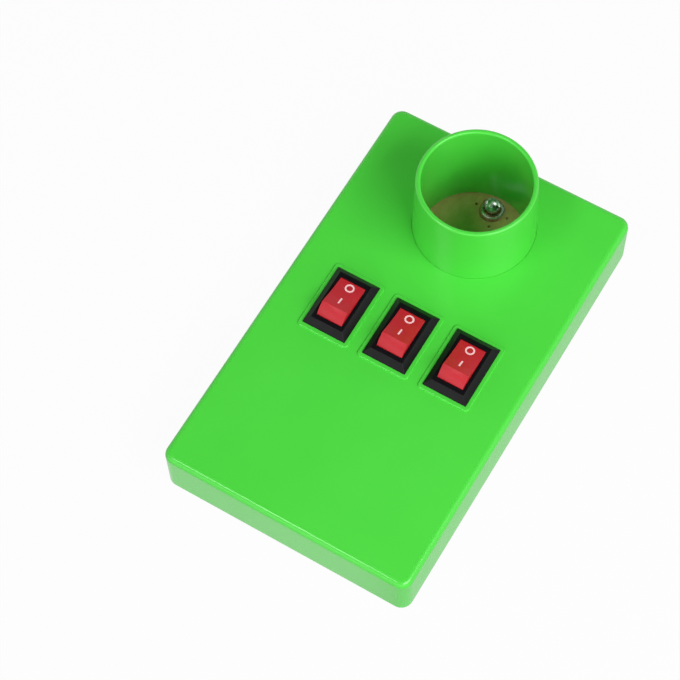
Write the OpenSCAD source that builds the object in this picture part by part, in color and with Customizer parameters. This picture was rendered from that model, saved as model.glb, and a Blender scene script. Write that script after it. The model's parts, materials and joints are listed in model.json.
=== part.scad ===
// Light mixing box for classroom optics. A flat case carries a round hood over
// three lamps, one rocker switch for each lamp, and three cells. Millimetres.
// The origin is the centre of the underside. X runs across the width, Y runs
// along the length towards the hood, and Z points up.

/* [Case] */
// Width of the case
case_w = 85; // [82:1:100]
// Length of the case
case_l = 142; // [136:1:170]
// Height of the case, without the hood
case_h = 18; // [17.5:0.5:22]
// Thickness of the walls and the top
wall = 2; // [1.6:0.1:2.2]
// Radius of the upright corners
corner_r = 3.8; // [3.5:0.1:6]
// Radius of the rounded top edge
edge_r = 1.9; // [1:0.1:2]
// Thickness of the bottom cover
cover_t = 2; // [1.6:0.1:2.2]
// Gap between the cover and the walls
cover_gap = 0.2; // [0.1:0.05:0.4]
// Distance of the cover screws from the sides and ends
cover_screw_inset = 9.5; // [8:0.5:11]

/* [Hood] */
// Radius of the hood's outside at its rim
hood_r = 18.75; // [17:0.05:19]
// Wall of the hood at its rim
hood_wall = 1.6; // [1:0.05:2]
// Height of the hood above the case
hood_h = 26; // [15:1:40]
// How much wider the hood's outside is at its foot
hood_draft = 0.9; // [0:0.1:1.2]
// How much wider the hood's bore is at its lower end
bore_draft = 0.55; // [0:0.05:0.6]
// Radius of the rim's rounded edges
rim_r = 0.75; // [0.1:0.05:0.75]
// Clearance between the hood and its hole in the case top
hood_fit = 0.08; // [0.04:0.02:0.2]
// Width of the hood's flange under the case top
flange_w = 2.2; // [1.5:0.1:3]
// Thickness of the hood's flange
flange_t = 1.2; // [0.8:0.1:2]
// Distance of the hood's axis from the end of the case
hood_inset = 25.6; // [25:0.2:30]

/* [Lamps] */
// Height of the lamp board's underside above the base
board_z = 4.7; // [4.4:0.1:6]
// Thickness of the lamp board
board_t = 1.6; // [1:0.1:2]
// Width of the lamp board
board_w = 56; // [54:1:58]
// Gap between the lamp board and the end wall
board_gap = 1.6; // [1:0.1:2.5]
// Distance of the board's screws from its edges
board_screw_inset = 4; // [3:0.5:4]
// Gap between the board and the lower end of the hood
hood_board_gap = 0.4; // [0.2:0.1:1]
// Radius of the circle on which the lamps stand
lamp_ring_r = 12.5; // [11:0.1:12.6]
// Direction of the first lamp from the hood's axis
lamp_angle = 91; // [80:1:100]
// Radius of a lamp's flange
lamp_flange_r = 4.1; // [3.6:0.1:4.5]
// Height of a lamp's flange
lamp_flange_h = 1; // [0.6:0.1:1.4]
// Radius of a lamp's dome
lamp_r = 3; // [2.6:0.1:3.8]
// Height of a lamp above the board
lamp_h = 5.5; // [4.8:0.1:9]
// Distance between a lamp's two leads
lead_pitch = 2.54; // [2:0.01:3]
// Radius of a lead
lead_r = 0.25; // [0.2:0.05:0.3]

/* [Switches] */
// Distance between neighbouring switches
switch_pitch = 21.2; // [20:0.1:23]
// Distance of the switch row from the hood end of the case
switch_inset = 71.5; // [70:0.5:76]
// Height of the raised pad under each switch
pad_h = 0.55; // [0.3:0.05:1]
// Margin of the pad around the bezel
pad_margin = 1.3; // [0.8:0.1:1.5]
// Width of the bezel
bezel_w = 15; // [14.5:0.1:15.5]
// Length of the bezel
bezel_l = 21.8; // [21:0.1:22.5]
// Height of the bezel above the pad
bezel_h = 2.3; // [2:0.1:2.4]
// Height and depth of the bezel's slanted edge
bezel_slant = 1.95; // [1.2:0.05:2]
// Overhang of the bezel around the switch body
bezel_lap = 1.15; // [0.8:0.05:1.2]
// Side walls of the switch body
body_side = 1.75; // [1.4:0.05:2]
// End walls and floor of the switch body
body_end = 0.6; // [0.5:0.05:0.8]
// Clearance around the switch body and around the rocker
fit_gap = 0.2; // [0.15:0.05:0.25]
// Depth of the rocker's axis below the bezel's seat
pivot_depth = 3.1; // [2.8:0.1:3.4]
// Length of the rocker's top
rocker_l = 11.4; // [11:0.1:12]
// Hollow of the rocker's top between its edges
rocker_sag = 0.35; // [0.2:0.05:0.6]
// Lean of the rocker to either side
rocker_tilt = 15; // [11:0.5:16]
// Radius of the rocker's trunnions
trunnion_r = 1.2; // [0.9:0.1:1.4]
// Radial clearance of the trunnions
trunnion_gap = 0.05; // [0.02:0.01:0.1]
// Reach of the plunger's tip below the rocker's axis
plunger_reach = 5.2; // [4.8:0.1:5.4]
// Radius of the plunger
plunger_r = 1.1; // [0.9:0.1:1.2]
// Length of the see-saw contact
bridge_l = 11; // [9:0.5:12]
// Width of the see-saw contact
bridge_w = 3.4; // [3:0.1:4]
// Thickness of the see-saw contact
bridge_t = 0.5; // [0.4:0.05:0.6]
// Lean of the see-saw contact to either side
bridge_tilt = 8; // [6:0.5:9]
// Length of the solder tabs below the switch body
tab_l = 4.4; // [3.5:0.1:4.6]

/* [Marks] */
// Outer radius of the off ring
ring_r = 1.55; // [1.3:0.05:1.8]
// Width of the lines of both marks
mark_line = 0.55; // [0.4:0.05:0.6]
// Length of the on bar
bar_l = 2.4; // [1.8:0.1:3]
// Distance of the off ring from the middle of the rocker
ring_y = 3.5; // [2.8:0.05:3.6]
// Distance of the on bar from the middle of the rocker
bar_y = 2.45; // [2:0.05:3.2]
// Depth of the marks
mark_t = 0.2; // [0.1:0.05:0.3]

/* [Cells] */
// Radius of a cell
cell_r = 5.2; // [5:0.05:5.25]
// Length of a cell with its button
cell_l = 44.5; // [43:0.5:45]
// Space around each cell
cell_gap = 0.3; // [0.2:0.05:0.4]
// Walls and floor of the holder
holder_wall = 1.2; // [0.8:0.1:1.3]
// Length that the end springs take up
spring_space = 4; // [3.5:0.5:5]
// Radius of the insulated wires
wire_r = 0.6; // [0.4:0.05:0.65]

/* [Hidden] */

$fn = 64;
eps = 0.01;
cut = 1;
switch_count = 3;
lamp_count = 3;
cell_count = 3;

case_green = [0.30, 0.86, 0.26];
black = [0.07, 0.07, 0.08];
steel = [0.78, 0.78, 0.80];
brass = [0.80, 0.62, 0.30];
board_tan = [0.58, 0.50, 0.26];

// Places along the case
ceiling_z = case_h - wall;
hood_y = case_l / 2 - hood_inset;
switch_y = case_l / 2 - switch_inset;
board_top = board_z + board_t;
board_l = 2 * (hood_inset - wall - board_gap);
inner_edge_r = 0.5;

// Screws of the cover: heads in cups, cups against the bosses of the shell
screw_head_r = 2.6;
screw_head_h = 1.6;
screw_shank_r = 1.3;
screw_l = 10;
screw_clear = 0.3;
thread_gap = 0.05;
head_recess = 0.4;
cup_wall = 1.3;
cup_floor = 1.3;
cup_seat = head_recess + screw_head_h;
cup_h = cup_seat + cup_floor;
cup_r = screw_head_r + screw_clear + cup_wall;
boss_r = 3.2;
boss_air = 1;
cover_screw_x = case_w / 2 - cover_screw_inset;
cover_screw_y = case_l / 2 - cover_screw_inset;

// Screws of the lamp board
board_screw_r = 0.95;
board_screw_head_r = 1.9;
board_screw_head_h = 1.2;
board_screw_l = 6;
board_boss_r = 2.5;
board_screw_x = board_w / 2 - board_screw_inset;
board_screw_y = board_l / 2 - board_screw_inset;
board_corner_r = 1;

// Holes of the lamp board, from the hood's axis and each lamp's direction
via_r = 0.5;
lead_hole_r = lead_r + 0.15;
outer_via_r = lamp_ring_r + 1.2;
inner_via_r = lamp_ring_r - 5.2;
outer_via_turn = 23.9;
inner_via_turn = 15.3;
lead_below = 1.1;
lead_above = 2.4;
solder_r = 0.9;
solder_h = 0.8;
cup_lead_r = 0.75;
cup_lead_h = 0.9;
cup_lead_wall = 0.15;
flange_flat = 0.35;

// Resistors under the board
resistor_r = 0.9;
resistor_l = 3.5;
resistor_z = board_z - resistor_r - 0.2;
resistor_lead_r = 0.22;

// Switch, measured from the middle of the bezel's seat
seat_z = case_h + pad_h;
body_w = bezel_w - 2 * bezel_lap;
body_l = bezel_l - 2 * bezel_lap;
cavity_w = body_w - 2 * body_side;
cavity_r = body_l / 2 - body_end;
rocker_w = cavity_w - 2 * fit_gap;
rocker_r = cavity_r - fit_gap;
rocker_h = sqrt(pow(rocker_r, 2) - pow(rocker_l / 2, 2));
sag_r = (pow(rocker_l / 2, 2) + pow(rocker_sag, 2)) / (2 * rocker_sag);
sag_z = rocker_h - rocker_sag + sag_r;
rocker_low = 2.2;
rocker_shell = 1.1;
stem_l = 5.4;
stem_low = 2.6;
stem_top = 4.2;
plunger_fit = 0.12;
tip_gap = 0.15;
bridge_z = -(pivot_depth + plunger_reach + tip_gap + bridge_t);
pad_contact_t = 0.3;
contact_gap = 0.1;
floor_top = bridge_z - bridge_l / 2 * sin(bridge_tilt) - pad_contact_t - contact_gap;
floor_t = body_end + 0.2;
body_low = floor_top - floor_t;
fulcrum_r = 0.35;
fulcrum_gap = 0.05;
tab_w = 3;
tab_t = 0.5;
end_tab_y = bridge_l / 2 + 1;
end_pad_l = 2.4;
lug_l = 0.5;
lug_h = 1.8;
lug_w = 5;

// Coil of the plunger's spring
coil_wire_r = 0.14;
coil_turns = 5;
coil_steps = 12;
coil_sides = 6;
coil_r = plunger_r - coil_wire_r - 0.1;
coil_low = -stem_low + 0.7;
coil_high = stem_top - 0.15;

// Cell holder, open towards the cover
bay_w = 2 * (cell_r + cell_gap);
plate_t = 0.4;
holder_w = cell_l + spring_space + 2 * plate_t + 2 * holder_wall;
holder_l = cell_count * bay_w + (cell_count + 1) * holder_wall;
holder_h = holder_wall + bay_w;
holder_y = (switch_y - body_l / 2 - case_l / 2 + wall) / 2;
holder_low = ceiling_z - holder_h;
cell_z = ceiling_z - holder_wall - bay_w / 2;
button_r = 1.9;
button_l = 0.9;
can_bevel = 0.4;
divider_h = 0.55 * bay_w;
rib_t = 1.2;
rib_h = 4;
rib_gap = 0.15;
rib_span = 16;
prop_gap = 0.1;
prop_w = 2;
end_coil_r = 3;
end_coil_wire_r = 0.3;
end_coil_turns = 3;

// Wire routes
wire_sides = 8;
wire_bend = 1.4;
bend_share = 0.45;
lead_bend = 0.4;
wire_z = 4.4;
under_board_z = board_z - wire_r - 0.4;
bus_y = switch_y - tab_t / 2 - wire_r - 0.05;
end_wire_y = switch_y + end_tab_y + tab_t / 2;
lane_gap = 9;
lane_drop = 4;
tab_run = 3;
board_run = 7;
negative_pad = [6, 1];

function switch_x(i) = (i - (switch_count + 1) / 2) * switch_pitch;
function lamp_dir(i) = lamp_angle + (i - 1) * 360 / lamp_count;
function polar(r, a) = [r * cos(a), hood_y + r * sin(a)];
function lamp_pos(i) = polar(lamp_ring_r, lamp_dir(i));
function wire_via(i) = polar(outer_via_r, lamp_dir(i) + outer_via_turn);
function outer_via(i) = polar(outer_via_r, lamp_dir(i) - outer_via_turn);
function inner_via(i) = polar(inner_via_r, lamp_dir(i) - inner_via_turn);
function cell_y(i) = holder_y + holder_l / 2 - holder_wall - bay_w / 2 - (i - 1) * (bay_w + holder_wall);
function at(p, z) = [p[0], p[1], z];

// Flat plate with round upright corners, standing on z = 0
module plate(w, l, h, r) {
    translate([-w / 2 + r, -l / 2, 0]) cube([w - 2 * r, l, h]);
    translate([-w / 2, -l / 2 + r, 0]) cube([w, l - 2 * r, h]);
    for (x = [-1, 1], y = [-1, 1])
        translate([x * (w / 2 - r), y * (l / 2 - r), 0]) cylinder(r = r, h = h);
}

// Outline of a block whose two upper corners are rounded
module arch_outline(w, h, e) {
    translate([-w / 2, 0]) square([w, h - e]);
    translate([-w / 2 + e, 0]) square([w - 2 * e, h]);
    for (x = [-1, 1]) translate([x * (w / 2 - e), h - e]) circle(r = e);
}

// Block with round upright corners of radius r and a top edge of radius e
module rounded_block(w, l, h, r, e) {
    rotate([90, 0, 0]) linear_extrude(height = l - 2 * r, center = true) arch_outline(w, h, e);
    rotate([90, 0, 90]) linear_extrude(height = w - 2 * r, center = true) arch_outline(l, h, e);
    for (x = [-1, 1], y = [-1, 1])
        translate([x * (w / 2 - r), y * (l / 2 - r), 0]) rotate_extrude() {
            square([r, h - e]);
            square([r - e, h]);
            translate([r - e, h - e]) circle(r = e);
        }
}

// Straight round rod from a to b
module rod(a, b, r) {
    run = b - a;
    reach = norm(run);
    translate(a) rotate([0, acos(run[2] / reach), atan2(run[1], run[0])])
        cylinder(r = r, h = reach, $fn = 24);
}

// Points of a route with each corner rounded off, starting the bend a short way before it
function unit(v) = v / norm(v);
function bend(a, b, c, d) =
    let (into = b + min(d, norm(a - b) * bend_share) * unit(a - b),
         out = b + min(d, norm(c - b) * bend_share) * unit(c - b))
    [for (t = [0:1 / 3:1.01]) (1 - t) * (1 - t) * into + 2 * t * (1 - t) * b + t * t * out];
function rounded_route(p, d) = concat(
    [p[0]],
    [for (i = [1:len(p) - 2]) each bend(p[i - 1], p[i], p[i + 1], d)],
    [p[len(p) - 1]]
);

// Wire through a list of points, swept as one tube; no stretch of it runs along side_hint
side_hint = unit([0.37, 0.6, 0.7]);
module wire(points, r, bend_r) {
    p = rounded_route(points, bend_r);
    last = len(p) - 1;
    rings = [for (i = [0:last])
        let (along = i == 0 ? unit(p[1] - p[0]) : i == last ? unit(p[last] - p[last - 1])
                 : unit(unit(p[i] - p[i - 1]) + unit(p[i + 1] - p[i])),
             side = unit(cross(along, side_hint)), up = cross(side, along))
        each [for (k = [0:wire_sides - 1])
            let (around = k * 360 / wire_sides) p[i] + r * (cos(around) * side + sin(around) * up)]];
    start = [for (k = [0:wire_sides - 1]) wire_sides - 1 - k];
    finish = [for (k = [0:wire_sides - 1]) last * wire_sides + k];
    skin = [for (i = [0:last - 1], k = [0:wire_sides - 1])
        let (a = i * wire_sides, b = a + wire_sides, n = (k + 1) % wire_sides)
        each [[a + k, a + n, b + n], [a + k, b + n, b + k]]];
    polyhedron(points = rings, faces = concat([start], [finish], skin));
}

// Coil spring along Z, swept as a tube
module coil(r, wire_radius, turns, low, high) {
    steps = turns * coil_steps;
    rise = (high - low - 2 * wire_radius) / steps;
    points = [for (s = [0:steps], k = [0:coil_sides - 1])
        let (turn = s * 360 / coil_steps, around = k * 360 / coil_sides,
             out = r + wire_radius * cos(around))
        [out * cos(turn), out * sin(turn), low + wire_radius + s * rise + wire_radius * sin(around)]];
    start = [for (k = [0:coil_sides - 1]) coil_sides - 1 - k];
    finish = [for (k = [0:coil_sides - 1]) steps * coil_sides + k];
    skin = [for (s = [0:steps - 1], k = [0:coil_sides - 1])
        let (a = s * coil_sides, b = a + coil_sides, n = (k + 1) % coil_sides)
        each [[a + k, b + n, b + k], [a + k, a + n, b + n]]];
    polyhedron(points = points, faces = concat([start], [finish], skin));
}

// Self-tapping screw with a cross recess; its head hangs below z = 0
module screw(head_r, head_h, shank_r, length) {
    recess_w = head_r / 4;
    recess_l = head_r * 1.1;
    difference() {
        translate([0, 0, -head_h]) cylinder(r1 = head_r * 0.82, r2 = head_r, h = head_h);
        for (turn = [0, 90]) rotate(turn)
            translate([-recess_l / 2, -recess_w / 2, -head_h - cut])
                cube([recess_l, recess_w, cut + head_h * 0.6]);
    }
    cylinder(r = shank_r, h = length - 2 * shank_r);
    translate([0, 0, length - 2 * shank_r]) cylinder(r1 = shank_r, r2 = 0.3, h = 2 * shank_r);
}

module at_cover_screws() {
    for (x = [-1, 1], y = [-1, 1]) translate([x * cover_screw_x, y * cover_screw_y, 0]) children();
}

module at_board_screws() {
    for (x = [-1, 1], y = [-1, 1])
        translate([x * board_screw_x, hood_y + y * board_screw_y, 0]) children();
}

module at_switch(i) {
    translate([switch_x(i), switch_y, seat_z]) children();
}

// Frame of a rocker at rest: its axis is X, and its upper side is +Z
module at_rocker(i) {
    at_switch(i) translate([0, 0, -pivot_depth]) rotate([-rocker_tilt, 0, 0]) children();
}

// Frame of a lamp on the board: X points away from the hood's axis
module at_lamp(i) {
    translate(at(lamp_pos(i), board_top)) rotate(lamp_dir(i)) children();
}

// Hood with a rounded rim; its flange is glued under the case top, and its
// lower end reaches down to the lamp board
module hood() {
    low = board_top + hood_board_gap;
    high = case_h + hood_h;
    bore_r = hood_r - hood_wall;
    rim = min(rim_r, hood_wall / 2 - eps);
    color(case_green) translate([0, hood_y, 0]) rotate_extrude($fn = 128) {
        translate([hood_r, ceiling_z - flange_t]) square([hood_draft + flange_w, flange_t]);
        polygon([
            [bore_r + bore_draft, low], [hood_r + hood_draft, low], [hood_r + hood_draft, case_h],
            [hood_r, high - rim], [hood_r - rim, high],
            [bore_r + rim, high], [bore_r, high - rim]
        ]);
        translate([hood_r - rim, high - rim]) circle(r = rim);
        translate([bore_r + rim, high - rim]) circle(r = rim);
    }
}

// Ribs under the case top that locate the cell holder
module holder_ribs() {
    out_x = holder_w / 2 + rib_gap;
    out_y = holder_l / 2 + rib_gap;
    for (side = [-1, 1]) {
        translate([side * (out_x + rib_t / 2) - rib_t / 2, holder_y - rib_span / 2, ceiling_z - rib_h])
            cube([rib_t, rib_span, rib_h + eps]);
        translate([-rib_span / 2, holder_y + side * (out_y + rib_t / 2) - rib_t / 2, ceiling_z - rib_h])
            cube([rib_span, rib_t, rib_h + eps]);
    }
}

module switch_cutout() {
    w = body_w + 2 * fit_gap;
    l = body_l + 2 * fit_gap;
    translate([-w / 2, -l / 2, -pad_h - wall - cut]) cube([w, l, pad_h + wall + 2 * cut]);
}

module upper_shell() {
    hood_hole_r = hood_r + hood_draft + hood_fit;
    color(case_green) difference() {
        union() {
            difference() {
                rounded_block(case_w, case_l, case_h, corner_r, edge_r);
                translate([0, 0, -cut])
                    rounded_block(case_w - 2 * wall, case_l - 2 * wall, ceiling_z + cut,
                                  corner_r - wall, inner_edge_r);
            }
            for (i = [1:switch_count])
                translate([switch_x(i), switch_y, ceiling_z + wall / 2])
                    rounded_block(bezel_w + 2 * pad_margin, bezel_l + 2 * pad_margin,
                                  wall / 2 + pad_h, pad_margin, pad_h / 2);
            at_cover_screws() translate([0, 0, cup_h]) cylinder(r = boss_r, h = ceiling_z - cup_h + eps);
            at_board_screws() translate([0, 0, board_top])
                cylinder(r = board_boss_r, h = ceiling_z - board_top + eps);
            holder_ribs();
        }
        translate([0, hood_y, ceiling_z - cut]) cylinder(r = hood_hole_r, h = wall + 2 * cut, $fn = 128);
        for (i = [1:switch_count]) at_switch(i) switch_cutout();
        at_cover_screws() translate([0, 0, cup_h - cut])
            cylinder(r = screw_shank_r + thread_gap, h = screw_l - cup_floor + boss_air + cut);
        at_board_screws() translate([0, 0, board_top - cut])
            cylinder(r = board_screw_r + thread_gap, h = board_screw_l - board_t + boss_air + cut);
    }
}

// Props on the cover that keep the cell holder against the case top
module holder_props() {
    reach = bay_w * 2;
    for (side = [-1, 1])
        translate([side * (holder_w / 2 - prop_w) - prop_w / 2, holder_y - reach / 2, 0])
            cube([prop_w, reach, holder_low - prop_gap]);
}

module bottom_cover() {
    margin = 2 * (wall + cover_gap);
    color(case_green) difference() {
        union() {
            plate(case_w - margin, case_l - margin, cover_t, corner_r - wall - cover_gap);
            at_cover_screws() cylinder(r = cup_r, h = cup_h);
            holder_props();
        }
        at_cover_screws() {
            translate([0, 0, -cut]) cylinder(r = screw_head_r + screw_clear, h = cup_seat + cut);
            translate([0, 0, -cut]) cylinder(r = screw_shank_r + screw_clear, h = cup_h + 2 * cut);
        }
    }
}

module cover_screws() {
    color(steel) at_cover_screws() translate([0, 0, cup_seat])
        screw(screw_head_r, screw_head_h, screw_shank_r, screw_l);
}

module lamp_board() {
    color(board_tan) difference() {
        translate([0, hood_y, board_z]) plate(board_w, board_l, board_t, board_corner_r);
        at_board_screws() translate([0, 0, board_z - cut])
            cylinder(r = board_screw_r + screw_clear, h = board_t + 2 * cut);
        for (i = [1:lamp_count]) {
            for (via = [wire_via(i), outer_via(i), inner_via(i)])
                translate(at(via, board_z - cut)) cylinder(r = via_r, h = board_t + 2 * cut);
            at_lamp(i) for (y = [-1, 1])
                translate([0, y * lead_pitch / 2, -board_t - cut])
                    cylinder(r = lead_hole_r, h = board_t + 2 * cut);
        }
    }
}

module board_screws() {
    color(steel) at_board_screws() translate([0, 0, board_z])
        screw(board_screw_head_r, board_screw_head_h, board_screw_r, board_screw_l);
}

// Two leads of one lamp; the cup that holds the chip is on the first
module lead_pair() {
    for (y = [-1, 1]) translate([0, y * lead_pitch / 2, -board_t - lead_below])
        cylinder(r = lead_r, h = board_t + lead_below + lead_above);
    translate([0, -lead_pitch / 2 + cup_lead_r / 2, lead_above - eps]) difference() {
        cylinder(r = cup_lead_r, h = cup_lead_h);
        translate([0, 0, cup_lead_h / 2])
            cylinder(r1 = cup_lead_r / 2, r2 = cup_lead_r - cup_lead_wall, h = cup_lead_h / 2 + eps);
    }
}

module lamp_leads() {
    color(steel) for (i = [1:lamp_count]) at_lamp(i) lead_pair();
}

module lamp(i) {
    dome_z = lamp_h - lamp_r;
    color([0.90, 0.94, 0.92]) at_lamp(i) difference() {
        union() {
            difference() {
                cylinder(r = lamp_flange_r, h = lamp_flange_h);
                translate([-lamp_flange_r, lamp_flange_r - flange_flat, -cut])
                    cube([2 * lamp_flange_r, lamp_flange_r, lamp_flange_h + 2 * cut]);
            }
            cylinder(r = lamp_r, h = dome_z);
            translate([0, 0, dome_z]) sphere(r = lamp_r);
        }
        translate([0, 0, -lamp_r - cut]) cube([4 * lamp_r, 4 * lamp_r, 2 * (lamp_r + cut)], center = true);
        lead_pair();
    }
}

module solder_joints() {
    color(steel) for (i = [1:lamp_count]) at_lamp(i) for (y = [-1, 1])
        translate([0, y * lead_pitch / 2, -board_t - solder_h]) difference() {
            cylinder(r1 = solder_r / 2, r2 = solder_r, h = solder_h);
            translate([0, 0, -cut]) cylinder(r = lead_r, h = solder_h + 2 * cut);
        }
}

// Ends of a resistor's body between its two board holes
function body_end_at(i, side) =
    let (a = at(outer_via(i), resistor_z), b = at(inner_via(i), resistor_z), mid = (a + b) / 2)
    mid + side * (b - a) / norm(b - a) * resistor_l / 2;

module resistors() {
    color([0.80, 0.70, 0.50]) for (i = [1:lamp_count])
        rod(body_end_at(i, -1), body_end_at(i, 1), resistor_r);
}

module resistor_leads() {
    into_board = board_z + board_t / 2;
    color(steel) for (i = [1:lamp_count]) {
        wire([body_end_at(i, -1), at(outer_via(i), resistor_z), at(outer_via(i), into_board)],
             resistor_lead_r, lead_bend);
        wire([body_end_at(i, 1), at(inner_via(i), resistor_z), at(inner_via(i), into_board)],
             resistor_lead_r, lead_bend);
    }
}

// Frustum of the bezel: a low upright edge, then the slant on all four sides
module bezel_block() {
    edge = bezel_h - bezel_slant;
    intersection() {
        rotate([90, 0, 0]) linear_extrude(height = bezel_l + cut, center = true)
            slant_outline(bezel_w, edge);
        rotate([90, 0, 90]) linear_extrude(height = bezel_w + cut, center = true)
            slant_outline(bezel_l, edge);
    }
}

module slant_outline(w, edge) {
    polygon([
        [-w / 2, 0], [w / 2, 0], [w / 2, edge], [w / 2 - bezel_slant, bezel_h],
        [-w / 2 + bezel_slant, bezel_h], [-w / 2, edge]
    ]);
}

// Snap lug on an end of the switch body, under the case top
module snap_lug() {
    translate([-lug_w / 2, body_l / 2, -pad_h - wall - eps]) rotate([90, 0, 90])
        linear_extrude(height = lug_w) polygon([[-eps, -lug_h], [-eps, 0], [lug_l, 0]]);
}

module switch_housing(i) {
    color(black) at_switch(i) difference() {
        union() {
            bezel_block();
            translate([-body_w / 2, -body_l / 2, body_low]) cube([body_w, body_l, -body_low + eps]);
            snap_lug();
            mirror([0, 1, 0]) snap_lug();
        }
        translate([-cavity_w / 2, 0, -pivot_depth]) rotate([0, 90, 0]) cylinder(r = cavity_r, h = cavity_w);
        translate([-cavity_w / 2, -cavity_r, floor_top])
            cube([cavity_w, 2 * cavity_r, -pivot_depth - floor_top]);
        translate([-body_w / 2 - cut, 0, -pivot_depth]) rotate([0, 90, 0])
            cylinder(r = trunnion_r + trunnion_gap, h = body_w + 2 * cut);
        for (y = [0, end_tab_y]) translate([-tab_w / 2, y - tab_t / 2, body_low - cut])
            cube([tab_w, tab_t, floor_t + 2 * cut]);
    }
}

// Outline of the marks, seen from above the rocker
module mark_outline() {
    translate([0, ring_y]) difference() {
        circle(r = ring_r);
        circle(r = ring_r - mark_line);
    }
    translate([-mark_line / 2, -bar_y - bar_l / 2]) square([mark_line, bar_l]);
}

// Paint of both marks, sunk flush into the hollow top of the rocker
module mark_solid() {
    intersection() {
        linear_extrude(height = rocker_h + cut) mark_outline();
        difference() {
            translate([-rocker_w / 2, 0, sag_z]) rotate([0, 90, 0])
                cylinder(r = sag_r + mark_t, h = rocker_w, $fn = 256);
            translate([-rocker_w / 2 - cut, 0, sag_z]) rotate([0, 90, 0])
                cylinder(r = sag_r, h = rocker_w + 2 * cut, $fn = 256);
        }
    }
}

module rocker_outer(r, low, w) {
    intersection() {
        translate([-w / 2, 0, 0]) rotate([0, 90, 0]) cylinder(r = r, h = w, $fn = 128);
        translate([-w / 2, -r, low]) cube([w, 2 * r, r]);
    }
}

module switch_rocker(i) {
    stem_w = rocker_w - 1;
    color([0.78, 0.16, 0.20]) at_rocker(i) difference() {
        union() {
            difference() {
                rocker_outer(rocker_r, rocker_low, rocker_w);
                intersection() {
                    rocker_outer(rocker_r - rocker_shell, rocker_low - cut, rocker_w - 2 * rocker_shell);
                    translate([-rocker_w / 2, -rocker_r, 0])
                        cube([rocker_w, 2 * rocker_r, rocker_h - rocker_sag - rocker_shell]);
                }
            }
            translate([-stem_w / 2, -stem_l / 2, -stem_low])
                cube([stem_w, stem_l, stem_low + rocker_h - rocker_sag - rocker_shell / 2]);
            translate([-body_w / 2 + fit_gap, 0, 0]) rotate([0, 90, 0])
                cylinder(r = trunnion_r, h = body_w - 2 * fit_gap);
        }
        translate([-rocker_w / 2 - cut, 0, sag_z]) rotate([0, 90, 0])
            cylinder(r = sag_r, h = rocker_w + 2 * cut, $fn = 256);
        translate([0, 0, -stem_low - cut])
            cylinder(r = plunger_r + plunger_fit, h = stem_low + stem_top + cut);
        mark_solid();
    }
}

module switch_marks(i) {
    color([1.0, 0.84, 0.84]) at_rocker(i) mark_solid();
}

module switch_plunger(i) {
    tip_z = -plunger_reach + plunger_r;
    color([0.92, 0.92, 0.88]) at_rocker(i) {
        translate([0, 0, tip_z]) cylinder(r = plunger_r, h = coil_low - tip_z);
        translate([0, 0, tip_z]) sphere(r = plunger_r);
    }
}

module switch_spring(i) {
    color(steel) at_rocker(i) coil(coil_r, coil_wire_r, coil_turns, coil_low, coil_high);
}

module switch_bridge(i) {
    color(brass) at_switch(i) translate([0, 0, bridge_z]) rotate([bridge_tilt, 0, 0])
        translate([-bridge_w / 2, -bridge_l / 2, 0]) cube([bridge_w, bridge_l, bridge_t]);
}

module switch_terminals(i) {
    fulcrum_top = bridge_z - fulcrum_gap;
    color(brass) at_switch(i) {
        translate([-tab_w / 2, -tab_t / 2, body_low - tab_l])
            cube([tab_w, tab_t, fulcrum_top - fulcrum_r - body_low + tab_l]);
        translate([-tab_w / 2, 0, fulcrum_top - fulcrum_r]) rotate([0, 90, 0])
            cylinder(r = fulcrum_r, h = tab_w);
        translate([-tab_w / 2, end_tab_y - tab_t / 2, body_low - tab_l])
            cube([tab_w, tab_t, floor_top + pad_contact_t - body_low + tab_l]);
        translate([-tab_w / 2, end_tab_y + tab_t / 2 - end_pad_l, floor_top])
            cube([tab_w, end_pad_l, pad_contact_t]);
    }
}

module cell_holder() {
    bay_l = holder_w - 2 * holder_wall;
    color(black) difference() {
        translate([-holder_w / 2, holder_y - holder_l / 2, holder_low])
            cube([holder_w, holder_l, holder_h]);
        for (i = [1:cell_count]) translate([-bay_l / 2, cell_y(i) - bay_w / 2, holder_low - cut])
            cube([bay_l, bay_w, bay_w + cut]);
        translate([-bay_l / 2 + spring_space, holder_y - holder_l / 2 + holder_wall, holder_low - cut])
            cube([bay_l - 2 * spring_space, holder_l - 2 * holder_wall, bay_w - divider_h + cut]);
    }
}

// Direction of a cell's button: the middle cell points the other way
function cell_way(i) = i % 2 == 1 ? -1 : 1;

// A cell with its button towards -X; the spring pushes it there
module cell(i) {
    can_l = cell_l - button_l;
    shift = spring_space / 2;
    color([0.75, 0.72, 0.30]) translate([0, cell_y(i), cell_z]) rotate([0, 0, cell_way(i) == 1 ? 180 : 0])
        translate([-cell_l / 2 - shift, 0, 0]) rotate([0, 90, 0]) {
            cylinder(r = button_r, h = button_l + eps);
            translate([0, 0, button_l]) cylinder(r1 = cell_r - can_bevel, r2 = cell_r, h = can_bevel);
            translate([0, 0, button_l + can_bevel]) cylinder(r = cell_r, h = can_l - 2 * can_bevel);
            translate([0, 0, cell_l - can_bevel])
                cylinder(r1 = cell_r, r2 = cell_r - can_bevel, h = can_bevel);
        }
}

// End plates: one joins cells 2 and 3 on the left, one joins cells 1 and 2 on the right
module cell_plates() {
    plate_w = bay_w - 1;
    plate_h = bay_w - divider_h - 0.5;
    face_x = holder_w / 2 - holder_wall - plate_t;
    color(steel) for (i = [1:cell_count], side = [-1, 1])
        translate([side * (face_x + plate_t / 2) - plate_t / 2, cell_y(i) - plate_w / 2, cell_z - plate_h])
            cube([plate_t, plate_w, 2 * plate_h]);
}

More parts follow.
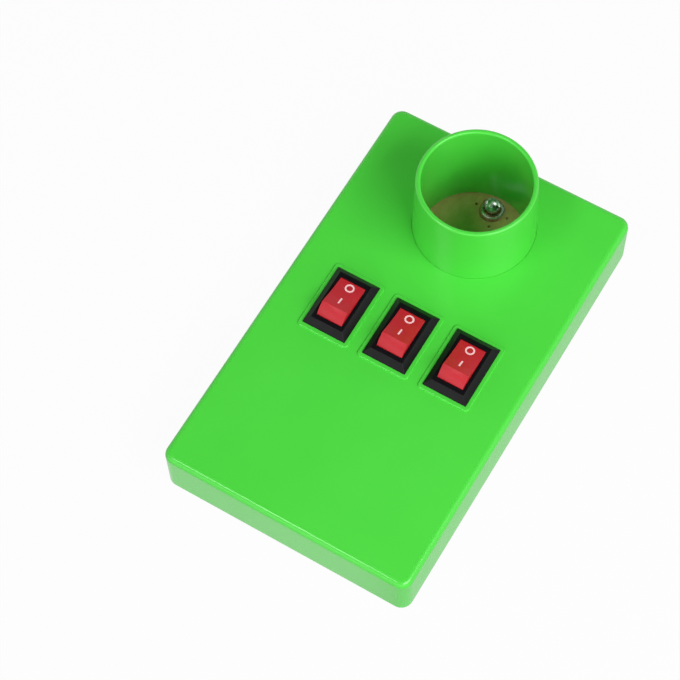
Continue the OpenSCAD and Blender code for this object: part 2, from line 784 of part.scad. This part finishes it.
module cell_springs() {
    face_x = holder_w / 2 - holder_wall - plate_t;
    color(steel) for (i = [1:cell_count])
        translate([0, cell_y(i), cell_z]) rotate([0, 0, cell_way(i) == 1 ? 180 : 0]) rotate([0, 90, 0])
            coil(end_coil_r, end_coil_wire_r, end_coil_turns, face_x - spring_space, face_x);
}

module wire_positive() {
    lane_x = -case_w / 2 + wall + lane_gap;
    color([0.80, 0.10, 0.10]) wire([
        [-holder_w / 2, cell_y(1), wire_z], [lane_x, cell_y(1), wire_z], [lane_x, bus_y, wire_z],
        [switch_x(switch_count) + tab_w / 2, bus_y, wire_z]
    ], wire_r, wire_bend);
}

module wire_negative() {
    lane_x = case_w / 2 - wall - lane_gap;
    drop_y = end_wire_y + board_run;
    end = [board_screw_x - negative_pad[0], hood_y - board_screw_y - negative_pad[1]];
    color([0.10, 0.10, 0.12]) wire([
        [holder_w / 2, cell_y(cell_count), wire_z], [lane_x, cell_y(cell_count), wire_z],
        [lane_x, drop_y, wire_z], [lane_x - lane_drop, drop_y + lane_drop, under_board_z],
        at(end, under_board_z), at(end, board_z)
    ], wire_r, wire_bend);
}

// Lamp that each switch lights: the near left one, the far one and the right one
function lamp_of(i) = i == 1 ? 2 : i == 2 ? 1 : 3;

// Bends of each switch wire below the board, around the hood's axis
function wire_bends(i) =
    i == 1 ? [polar(2.24 * lamp_ring_r, 241)]
    : i == 2 ? [polar(0, 0), polar(0.31 * lamp_ring_r, 130)]
    : [polar(1.72 * lamp_ring_r, -44)];

module wire_switch(i) {
    end = wire_via(lamp_of(i));
    tab = [switch_x(i), end_wire_y];
    route = concat(
        [at(tab, wire_z), at(tab + [0, tab_run], wire_z), at(tab + [0, board_run], under_board_z)],
        [for (b = wire_bends(i)) at(b, under_board_z)],
        [at(end, under_board_z), at(end, board_z)]
    );
    color([0.90, 0.75, 0.15]) wire(route, wire_r, wire_bend);
}

upper_shell();
hood();
bottom_cover();
cover_screws();
lamp_board();
board_screws();
solder_joints();
lamp(1);  // lamp_red
lamp(2);  // lamp_green
lamp(3);  // lamp_blue
lamp_leads();
resistors();
resistor_leads();
for (i = [1:switch_count]) {
    switch_housing(i);
    switch_rocker(i);
    switch_marks(i);
    switch_plunger(i);
    switch_spring(i);
    switch_bridge(i);
    switch_terminals(i);
    wire_switch(i);
}
cell_holder();
for (i = [1:cell_count])
    cell(i);
cell_plates();
cell_springs();
wire_positive();
wire_negative();
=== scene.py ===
"""Looks of the light mixing box: a green case with a round hood and three red rocker switches."""
import json
import math

import bmesh
import bpy
from mathutils import Euler, Matrix, Vector


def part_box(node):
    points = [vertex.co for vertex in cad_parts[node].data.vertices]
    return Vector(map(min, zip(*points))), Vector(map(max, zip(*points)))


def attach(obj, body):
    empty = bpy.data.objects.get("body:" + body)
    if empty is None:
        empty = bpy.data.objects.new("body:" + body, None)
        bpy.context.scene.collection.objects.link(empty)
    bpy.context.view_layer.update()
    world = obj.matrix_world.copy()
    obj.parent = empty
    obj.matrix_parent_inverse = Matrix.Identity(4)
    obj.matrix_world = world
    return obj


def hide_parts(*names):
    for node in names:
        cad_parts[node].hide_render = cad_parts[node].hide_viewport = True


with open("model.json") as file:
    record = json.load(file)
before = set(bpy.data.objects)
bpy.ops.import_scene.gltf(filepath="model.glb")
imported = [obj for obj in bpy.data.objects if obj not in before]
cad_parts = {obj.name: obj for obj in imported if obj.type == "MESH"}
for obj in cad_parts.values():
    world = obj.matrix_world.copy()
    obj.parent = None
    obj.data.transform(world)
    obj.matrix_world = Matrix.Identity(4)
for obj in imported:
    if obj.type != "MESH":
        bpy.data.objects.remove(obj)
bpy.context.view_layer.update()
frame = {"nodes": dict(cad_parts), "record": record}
nodes = frame["nodes"]
MM = 0.001

# The photograph's view: its focal length in pixels, the way the camera looks, and where it stands
IMAGE_PX = 680
FOCAL_PX = 2260.8
SENSOR_MM = 36
LOOK_DOWN = 63.822
TURN = -33.102
ROLL = 2.677
SIDE_MM = 19.295
RISE_MM = -6.560
DISTANCE_MM = 707.92

# The floor: its albedo, how bright the eye sees it straight on and mirrored in the box's right side,
# how much of what the eye sees is that glow, and where beside the box the mirrored glow fades
FLOOR_REACH = 4.0
FLOOR_ALBEDO = 0.3
FLOOR_GLOW = 1.04
MIRRORED_GLOW = 0.72
GLOW_SHARE = 0.92
FADE_START_MM = 20
FADE_END_MM = 50

# The room: its strength behind the box and in front of it, the share left at the horizon, and the ceiling
ROOM_BACK = 1.0
ROOM_FRONT = 2.1
ROOM_HORIZON = 0.5
CEILING = 0.04
LIGHT_DISTANCE = 1.0

# Rounded edges: their widths, and what counts as one point, as flat and as a corner
HOUSING_ROUND_MM = 0.1
ROCKER_ROUND_MM = 0.18
ROUND_STEPS = 3
WELD_MM = 0.002
FLAT_DEG = 0.5
CORNER_DEG = 28

# Inside a lamp, above its flange's foot: the cup's outline, and the middle and thickness of the silver ring that
# paints the glints of the dome's foot (a painted glint)
CUP_MM = [(0.05, 2.0), (1.4, 2.05), (2.15, 3.3), (2.2, 3.45), (2.05, 3.45), (1.5, 2.75), (0.7, 2.45), (0.05, 2.42)]
GLINT_RING_RADIUS_MM = 3.3
GLINT_RING_HEIGHT_MM = 1.2
GLINT_RING_THICK_MM = 0.3
GLINT_RING_SIDES = 12
SPUN_SIDES = 48
SMOOTH_DEG = 40


def add_object(name, data):
    made = bpy.data.objects.new(name, data)
    bpy.context.scene.collection.objects.link(made)
    return made


def add_camera():
    """The camera at the photograph's viewing angle, with no shift and no depth of field."""
    data = bpy.data.cameras.new("photo_camera")
    data.sensor_width = SENSOR_MM
    data.lens = FOCAL_PX / IMAGE_PX * SENSOR_MM
    data.clip_start, data.clip_end = 0.01, 20
    camera = add_object("photo_camera", data)
    tilt = Matrix.Rotation(math.radians(LOOK_DOWN - 90), 3, "X")
    turn = Matrix.Rotation(math.radians(TURN), 3, "Z")
    roll = Matrix.Rotation(math.radians(ROLL), 3, "Z")
    to_world = (roll @ tilt @ turn).transposed()
    place = Vector((SIDE_MM, RISE_MM, -DISTANCE_MM)) * MM
    camera.matrix_world = Matrix.LocRotScale(-(to_world @ place), to_world.to_quaternion(), None)
    bpy.context.scene.camera = camera


class NodeTree:
    """A node tree with short calls for the nodes that the materials and the world share."""

    def __init__(self, tree):
        self.tree = tree
        tree.nodes.clear()

    def node(self, kind, **settings):
        made = self.tree.nodes.new(kind)
        for key, value in settings.items():
            setattr(made, key, value)
        return made

    def link(self, out, into):
        self.tree.links.new(out, into)

    def axes(self, kind):
        """X, Y and Z of a texture coordinate."""
        split = self.node("ShaderNodeSeparateXYZ")
        self.link(self.node("ShaderNodeTexCoord").outputs[kind], split.inputs["Vector"])
        return split.outputs

    def span(self, value, start, end, low, high, ease="LINEAR"):
        """The value from start to end, stretched over low to high."""
        made = self.node("ShaderNodeMapRange", interpolation_type=ease)
        for name, number in (("From Min", start), ("From Max", end), ("To Min", low), ("To Max", high)):
            made.inputs[name].default_value = number
        self.link(value, made.inputs["Value"])
        return made.outputs["Result"]

    def join(self, operation, first, second):
        """Two values, or a value and a float, put together by an operation."""
        made = self.node("ShaderNodeMath", operation=operation)
        for socket, value in zip(made.inputs, (first, second)):
            if isinstance(value, float):
                socket.default_value = value
            else:
                self.link(value, socket)
        return made.outputs["Value"]


class Shader(NodeTree):
    """A material around one Principled surface, with the noises that vary it."""

    def __init__(self, name):
        self.material = bpy.data.materials.new(name)
        self.material.use_nodes = True
        super().__init__(self.material.node_tree)
        self.output = self.node("ShaderNodeOutputMaterial")
        self.surface = self.node("ShaderNodeBsdfPrincipled")
        self.link(self.surface.outputs["BSDF"], self.output.inputs["Surface"])
        self.place = self.node("ShaderNodeTexCoord").outputs["Object"]

    def set(self, **values):
        """Constant values of the surface, by socket name with _ for spaces."""
        for key, value in values.items():
            self.surface.inputs[key.replace("_", " ")].default_value = value

    def drive(self, **values):
        """Values of the surface that come from other nodes, named in the same way."""
        for key, value in values.items():
            self.link(value, self.surface.inputs[key.replace("_", " ")])

    def noise(self, size_mm, detail, roughness=0.55, stretch=(1, 1, 1), angle=0.0):
        """Noise whose lumps are about size_mm across."""
        mapping = self.node("ShaderNodeMapping")
        mapping.inputs["Rotation"].default_value = Euler((0, 0, angle))
        mapping.inputs["Scale"].default_value = stretch
        self.link(self.place, mapping.inputs["Vector"])
        made = self.node("ShaderNodeTexNoise")
        made.inputs["Scale"].default_value = 1 / (size_mm * MM)
        made.inputs["Detail"].default_value = detail
        made.inputs["Roughness"].default_value = roughness
        self.link(mapping.outputs["Vector"], made.inputs["Vector"])
        return made.outputs["Fac"]

    def vary(self, noise, low, high):
        """The middle of a noise, stretched over low to high."""
        return self.span(noise, 0.3, 0.7, low, high)

    def ramp(self, value, start, dark, end, light):
        """Colours along a value, from dark at start to light at end."""
        made = self.node("ShaderNodeValToRGB")
        for element, position, colour in zip(made.color_ramp.elements, (start, end), (dark, light)):
            element.position = position
            element.color = (*colour, 1)
        self.link(value, made.inputs["Fac"])
        return made.outputs["Color"]

    def bump(self, height, depth_mm, below=None):
        made = self.node("ShaderNodeBump")
        made.inputs["Distance"].default_value = depth_mm * MM
        made.inputs["Strength"].default_value = 1.0
        self.link(height, made.inputs["Height"])
        if below is not None:
            self.link(below, made.inputs["Normal"])
        return made.outputs["Normal"]

    def scratches(self, size_mm=1.2, crest=0.66, angle=0.7):
        """Thin lines: long noise cells, kept only at their crest."""
        cells = self.noise(size_mm, 2, 0.5, (1, 0.04, 1), angle)
        return self.span(cells, crest, crest + 0.04, 0, 1)

    def blend(self, share, other):
        """Another shader in place of the surface, by a share."""
        mix = self.node("ShaderNodeMixShader")
        self.link(share, mix.inputs["Fac"])
        self.link(self.surface.outputs["BSDF"], mix.inputs[1])
        self.link(other, mix.inputs[2])
        self.link(mix.outputs["Shader"], self.output.inputs["Surface"])


def moulded_plastic(name, light, dark, roughness, grain_mm=9.0, coat=0.0, shine=0.5, pits_mm=0.004):
    """Moulded plastic: faint colour drift, uneven gloss, the mould's slight waves and fine scratches."""
    s = Shader(name)
    waves = s.bump(s.noise(grain_mm * 1.6, 1), depth_mm=0.02)
    pits = s.bump(s.noise(0.5, 2), pits_mm, below=waves)
    s.drive(Base_Color=s.ramp(s.noise(grain_mm * 4, 2), 0.35, dark, 0.65, light),
            Roughness=s.vary(s.noise(grain_mm, 4), roughness * 0.85, roughness * 1.2),
            Normal=s.bump(s.scratches(), depth_mm=0.0003, below=pits))
    s.set(Coat_Weight=coat, Coat_Roughness=0.06, IOR=1.49, Specular_IOR_Level=shine)
    return s.material


def metal(name, tint, roughness):
    """Metal with a faint drift of tint and gloss."""
    s = Shader(name)
    dark = tuple(c * 0.82 for c in tint)
    s.drive(Base_Color=s.ramp(s.noise(1.5, 3), 0.3, dark, 0.7, tint),
            Roughness=s.vary(s.noise(0.6, 3), roughness * 0.7, roughness * 1.4),
            Normal=s.bump(s.noise(0.25, 2), depth_mm=0.004))
    s.set(Metallic=1.0)
    return s.material


def clear_epoxy():
    """The lamps' clear resin. Light passes straight through it, so that what is in and under it is lit."""
    s = Shader("clear_epoxy")
    s.set(Base_Color=(0.97, 0.99, 0.98, 1), Transmission_Weight=1.0, IOR=1.5, Coat_Weight=1.0)
    s.drive(Roughness=s.vary(s.noise(1.0, 3), 0.0, 0.03), Normal=s.bump(s.noise(1.6, 2), depth_mm=0.004))
    s.blend(s.node("ShaderNodeLightPath").outputs["Is Shadow Ray"],
            s.node("ShaderNodeBsdfTransparent").outputs["BSDF"])
    return s.material


def phenolic_board():
    """Tan board whose paper fibres run along X."""
    s = Shader("phenolic_board")
    fibre = s.noise(1.4, 5, 0.65, stretch=(1, 0.4, 1))
    s.drive(Base_Color=s.ramp(fibre, 0.3, (0.54, 0.42, 0.13), 0.7, (0.66, 0.53, 0.20)),
            Roughness=s.vary(s.noise(3, 3), 0.35, 0.55),
            Normal=s.bump(fibre, depth_mm=0.01))
    return s.material


def make_materials():
    """Every finish: by the record's name for its material slot, and the silver that only the lamps' cups and their
    painted-glint rings have.
    """
    green = (0.080, 0.685, 0.058), (0.075, 0.665, 0.054)
    black = (0.004, 0.004, 0.005), (0.003, 0.003, 0.004)
    red = (0.54, 0.014, 0.025), (0.50, 0.012, 0.022)
    steel = metal("bright_steel", (0.80, 0.80, 0.82), 0.22)
    return {
        "case_green": moulded_plastic("case_plastic", *green, 0.22, coat=0.08, pits_mm=0.001),
        "cover_green": moulded_plastic("cover_plastic", *green, 0.34, coat=0.4),
        "switch_black": moulded_plastic("switch_plastic", *black, 0.38, 3.0, shine=0.22),
        "rocker_red": moulded_plastic("rocker_plastic", *red, 0.38, 3.0, shine=0.4),
        "mark_white": moulded_plastic("mark_paint", (1.0, 0.62, 0.64), (1.0, 0.57, 0.60), 0.45, 1.0),
        "holder_black": moulded_plastic("holder_plastic", (0.02, 0.02, 0.022), (0.014, 0.014, 0.016), 0.5, 4.0),
        "cell_jacket": moulded_plastic("cell_jacket", (0.05, 0.06, 0.09), (0.035, 0.045, 0.07), 0.3, 6.0),
        "plunger_nylon": moulded_plastic("plunger_nylon", (0.80, 0.80, 0.74), (0.74, 0.74, 0.68), 0.4, 2.0),
        "resistor_body": moulded_plastic("resistor_lacquer", (0.62, 0.45, 0.24), (0.55, 0.38, 0.19), 0.35, 1.0),
        "wire_red": moulded_plastic("wire_red", (0.55, 0.02, 0.02), (0.48, 0.015, 0.015), 0.4, 2.0),
        "wire_black": moulded_plastic("wire_black", (0.02, 0.02, 0.022), (0.012, 0.012, 0.014), 0.4, 2.0),
        "wire_yellow": moulded_plastic("wire_yellow", (0.75, 0.50, 0.03), (0.68, 0.43, 0.02), 0.4, 2.0),
        "screw_steel": steel, "contact_steel": steel, "spring_steel": steel, "tinned_lead": steel,
        "solder": metal("dull_tin", (0.62, 0.63, 0.64), 0.42),
        "contact_brass": metal("brass_strip", (0.80, 0.58, 0.24), 0.28),
        "lamp_clear": clear_epoxy(),
        "board_phenolic": phenolic_board(),
        # Also worn by the rings that paint glints in the lamps' flanges.
        "cup_silver": metal("cup_silver", (0.98, 0.99, 0.98), 0.28),
    }


def lay_materials(finishes):
    for part in frame["record"]["subparts"]:
        for place in nodes[part["node"]].material_slots:
            place.material = finishes[part["material_slot"]]


def round_edges(name, body, finish, width_mm):
    """A copy of a CAD node whose sharp edges are rounded; it stands in for the node."""
    mesh = nodes[name].data.copy()
    work = bmesh.new()
    work.from_mesh(mesh)
    bmesh.ops.remove_doubles(work, verts=work.verts, dist=WELD_MM * MM)
    bmesh.ops.dissolve_limit(work, angle_limit=math.radians(FLAT_DEG), verts=work.verts, edges=work.edges)
    work.to_mesh(mesh)
    work.free()
    for face in mesh.polygons:
        face.use_smooth = True
    piece = add_object(name + "_rounded", mesh)
    soft = piece.modifiers.new("round", "BEVEL")
    soft.width = width_mm * MM
    soft.segments = ROUND_STEPS
    soft.limit_method = "ANGLE"
    soft.angle_limit = math.radians(CORNER_DEG)
    soft.use_clamp_overlap = True
    soft.harden_normals = True
    shown = bpy.data.meshes.new_from_object(piece.evaluated_get(bpy.context.evaluated_depsgraph_get()))
    piece.modifiers.clear()
    piece.data = shown
    shown.materials.clear()
    shown.materials.append(finish)
    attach(piece, body)
    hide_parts(name)


def spun(name, loops_mm, place):
    """Solids of revolution about an upright axis at place, each from a closed loop of (radius, height) pairs."""
    turns = [math.tau * k / SPUN_SIDES for k in range(SPUN_SIDES)]
    points, faces = [], []
    for loop in loops_mm:
        first = len(points)
        for radius, height in loop:
            points += [(place[0] + radius * MM * math.cos(turn), place[1] + radius * MM * math.sin(turn),
                        place[2] + height * MM) for turn in turns]
        for i in range(len(loop)):
            here = first + i * SPUN_SIDES
            there = first + (i + 1) % len(loop) * SPUN_SIDES
            for k in range(SPUN_SIDES):
                beside = (k + 1) % SPUN_SIDES
                faces.append((here + k, here + beside, there + beside, there + k))
    mesh = bpy.data.meshes.new(name)
    mesh.from_pydata(points, [], faces)
    for face in mesh.polygons:
        face.use_smooth = True
    mesh.set_sharp_from_angle(angle=math.radians(SMOOTH_DEG))
    return add_object(name, mesh)


def add_cups_and_glint_rings(finish):
    """Inside each lamp, the bright cup that its dome magnifies, and a bright silver ring in its flange that is a
    painted glint, standing in for the highlights at the dome's foot.
    """
    # The ring is a painted glint: a silver band where the dome's foot would catch the lamps.
    turns = [math.tau * k / GLINT_RING_SIDES for k in range(GLINT_RING_SIDES)]
    glint_ring = [(GLINT_RING_RADIUS_MM + GLINT_RING_THICK_MM * math.cos(turn), GLINT_RING_HEIGHT_MM + GLINT_RING_THICK_MM * math.sin(turn))
            for turn in turns]
    for lamp in ("lamp_red", "lamp_green", "lamp_blue"):
        low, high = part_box(lamp)
        middle = ((low[0] + high[0]) / 2, (low[1] + high[1]) / 2, low[2])
        piece = spun(lamp + "_cup_and_glint_ring", [CUP_MM, glint_ring], middle)
        piece.data.materials.append(finish)
        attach(piece, "case")


def add_floor():
    """Pale floor that looks white, a little darker where the box shades it and dimmer in the box's right side."""
    mesh = bpy.data.meshes.new("floor")
    far = FLOOR_REACH
    mesh.from_pydata([(-far, -far, 0), (far, -far, 0), (far, far, 0), (-far, far, 0)], [], [(0, 1, 2, 3)])
    floor = add_object("floor", mesh)
    s = Shader("floor_paper")
    s.set(Base_Color=(FLOOR_ALBEDO, FLOOR_ALBEDO, FLOOR_ALBEDO, 1), Roughness=1.0, Specular_IOR_Level=0.0)
    rays = s.node("ShaderNodeLightPath").outputs
    straight, mirrored, through = rays["Is Camera Ray"], rays["Is Glossy Ray"], rays["Is Transmission Ray"]
    seen = s.join("MAXIMUM", s.join("MAXIMUM", straight, mirrored), through)
    fading = s.span(s.axes("Object")["X"], FADE_START_MM * MM, FADE_END_MM * MM, FLOOR_GLOW, MIRRORED_GLOW,
                    "SMOOTHSTEP")
    glow = s.node("ShaderNodeEmission")
    s.link(s.join("MAXIMUM", s.join("MULTIPLY", straight, FLOOR_GLOW), fading), glow.inputs["Strength"])
    s.blend(s.join("MULTIPLY", seen, GLOW_SHARE), glow.outputs["Emission"])
    mesh.materials.append(s.material)


def add_world():
    """A dim ceiling over a pale room that is brightest in front, where the photographer stands."""
    world = bpy.data.worlds.new("studio")
    bpy.context.scene.world = world
    world.use_nodes = True
    w = NodeTree(world.node_tree)
    way = w.axes("Generated")
    rise = w.span(way["Z"], 0.0, 0.3, ROOM_HORIZON, 1.0, "SMOOTHSTEP")
    fall = w.span(way["Z"], 0.45, 0.75, 1.0, 0.0, "SMOOTHSTEP")
    front = w.span(way["Y"], -0.9, -0.2, ROOM_FRONT, ROOM_BACK, "SMOOTHSTEP")
    room = w.join("MULTIPLY", w.join("MULTIPLY", rise, fall), front)
    light = w.node("ShaderNodeBackground")
    w.link(w.join("ADD", room, CEILING), light.inputs["Strength"])
    w.link(light.outputs["Background"], w.node("ShaderNodeOutputWorld").inputs["Surface"])


def add_light(name, azimuth, height, size, power):
    """A soft box whose azimuth turns from +X towards +Y, aimed at the middle of the case."""
    data = bpy.data.lights.new(name, "AREA")
    data.shape = "RECTANGLE"
    data.size, data.size_y = size
    data.energy = power
    light = add_object(name, data)
    turn, lift = math.radians(azimuth), math.radians(height)
    way = Vector((math.cos(turn) * math.cos(lift), math.sin(turn) * math.cos(lift), math.sin(lift)))
    light.location = way * LIGHT_DISTANCE
    light.rotation_euler = way.to_track_quat("Z", "Y").to_euler()


bpy.context.scene.view_settings.view_transform = "Standard"
add_camera()
finishes = make_materials()
lay_materials(finishes)
for number in (1, 2, 3):
    round_edges(f"switch_{number}_housing", "case", finishes["switch_black"], HOUSING_ROUND_MM)
    round_edges(f"switch_{number}_rocker", f"rocker_{number}", finishes["rocker_red"],
                ROCKER_ROUND_MM)
add_cups_and_glint_rings(finishes["cup_silver"])
add_floor()
add_world()
add_light("key", azimuth=-14, height=46, size=(0.8, 0.45), power=7.8)
add_light("strip", azimuth=-118, height=61, size=(0.3, 0.17), power=1.6)
